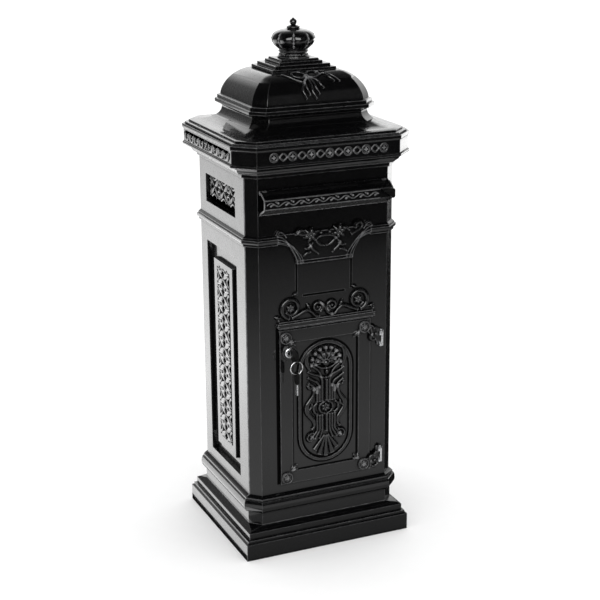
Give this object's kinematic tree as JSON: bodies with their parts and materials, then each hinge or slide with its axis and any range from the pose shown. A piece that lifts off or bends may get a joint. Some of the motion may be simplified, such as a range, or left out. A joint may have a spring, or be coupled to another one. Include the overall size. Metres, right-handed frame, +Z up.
{
  "type": "pillar letter box",
  "caption": "Free-standing cast pillar letter box with panelled sides, hinged letter flap, side-hung lock-up door, moulded cornice, domed roof and crown finial.",
  "frame": {"origin": "middle of the foot, on the ground", "axes": "+Z up, -Y towards the person who posts a letter, +X to that person's right"},
  "size_m": [0.3656, 0.3542, 1.025],
  "materials": {
    "black_paint": "gloss black paint over cast aluminium",
    "chrome": "polished nickel-chrome plate",
    "zinc_steel": "bright zinc plate",
    "key_plastic": "moulded, fine satin"
  },
  "bodies": {
    "case": {"base_plinth": "black_paint", "front_panel": "black_paint", "back_panel": "black_paint", "left_panel": "black_paint", "right_panel": "black_paint", "cornice": "black_paint", "roof": "black_paint", "finial_plinth": "black_paint", "crown_finial": "black_paint", "finial_stud": "zinc_steel", "finial_washer": "zinc_steel", "finial_nut": "zinc_steel", "flap_pin": "zinc_steel", "hinge_bracket_top": "black_paint", "hinge_bracket_bottom": "black_paint", "hinge_pin_top": "zinc_steel", "hinge_pin_bottom": "zinc_steel", "corner_angle_front_left": "zinc_steel", "base_screw_front_left": "zinc_steel", "cornice_screw_front_left": "zinc_steel", "roof_screw_front_left": "zinc_steel", "corner_angle_front_right": "zinc_steel", "base_screw_front_right": "zinc_steel", "cornice_screw_front_right": "zinc_steel", "roof_screw_front_right": "zinc_steel", "corner_angle_back_left": "zinc_steel", "base_screw_back_left": "zinc_steel", "cornice_screw_back_left": "zinc_steel", "roof_screw_back_left": "zinc_steel", "corner_angle_back_right": "zinc_steel", "base_screw_back_right": "zinc_steel", "cornice_screw_back_right": "zinc_steel", "roof_screw_back_right": "zinc_steel"},
    "letter_flap": {"letter_flap": "black_paint", "flap_knob": "key_plastic"},
    "door": {"door": "black_paint", "hinge_strap_top": "black_paint", "hinge_strap_bottom": "black_paint", "door_rosette_top": "black_paint", "door_rosette_bottom": "black_paint", "lock_barrel": "chrome", "lock_nut": "zinc_steel"},
    "lock_plug": {"lock_plug": "chrome", "lock_cam": "zinc_steel", "cam_screw": "zinc_steel"},
    "key": {"key_head": "key_plastic", "key_blade": "chrome"},
    "key_ring": {"key_ring": "chrome"},
    "spare_key": {"spare_key_head": "key_plastic", "spare_key_blade": "chrome"}
  },
  "joints": [
    {"name": "letter_flap_hinge", "type": "hinge", "parent": "case", "child": "letter_flap", "pos_m": [0, -0.1402, 0.729], "axis": [-1, 0, 0], "range_deg": [0, 65]},
    {"name": "door_hinge", "type": "hinge", "parent": "case", "child": "door", "pos_m": [0.119, -0.143, 0.29275], "axis": [0, 0, 1], "range_deg": [0, 110]},
    {"name": "lock_turn", "type": "hinge", "parent": "door", "child": "lock_plug", "pos_m": [-0.076, -0.14, 0.4143], "axis": [0, -1, 0], "range_deg": [0, 90]},
    {"name": "key_slide", "type": "slide", "parent": "lock_plug", "child": "key", "axis": [0, -1, 0], "range_m": [0, 0.03]},
    {"name": "key_ring_swing", "type": "hinge", "parent": "key", "child": "key_ring", "pos_m": [-0.076, -0.178, 0.4058], "axis": [0, 1, 0], "range_deg": [-25, 25]},
    {"name": "spare_key_swing", "type": "hinge", "parent": "key_ring", "child": "spare_key", "pos_m": [-0.076, -0.178, 0.381], "axis": [1, 0, 0], "range_deg": [-35, 35]}
  ]
}
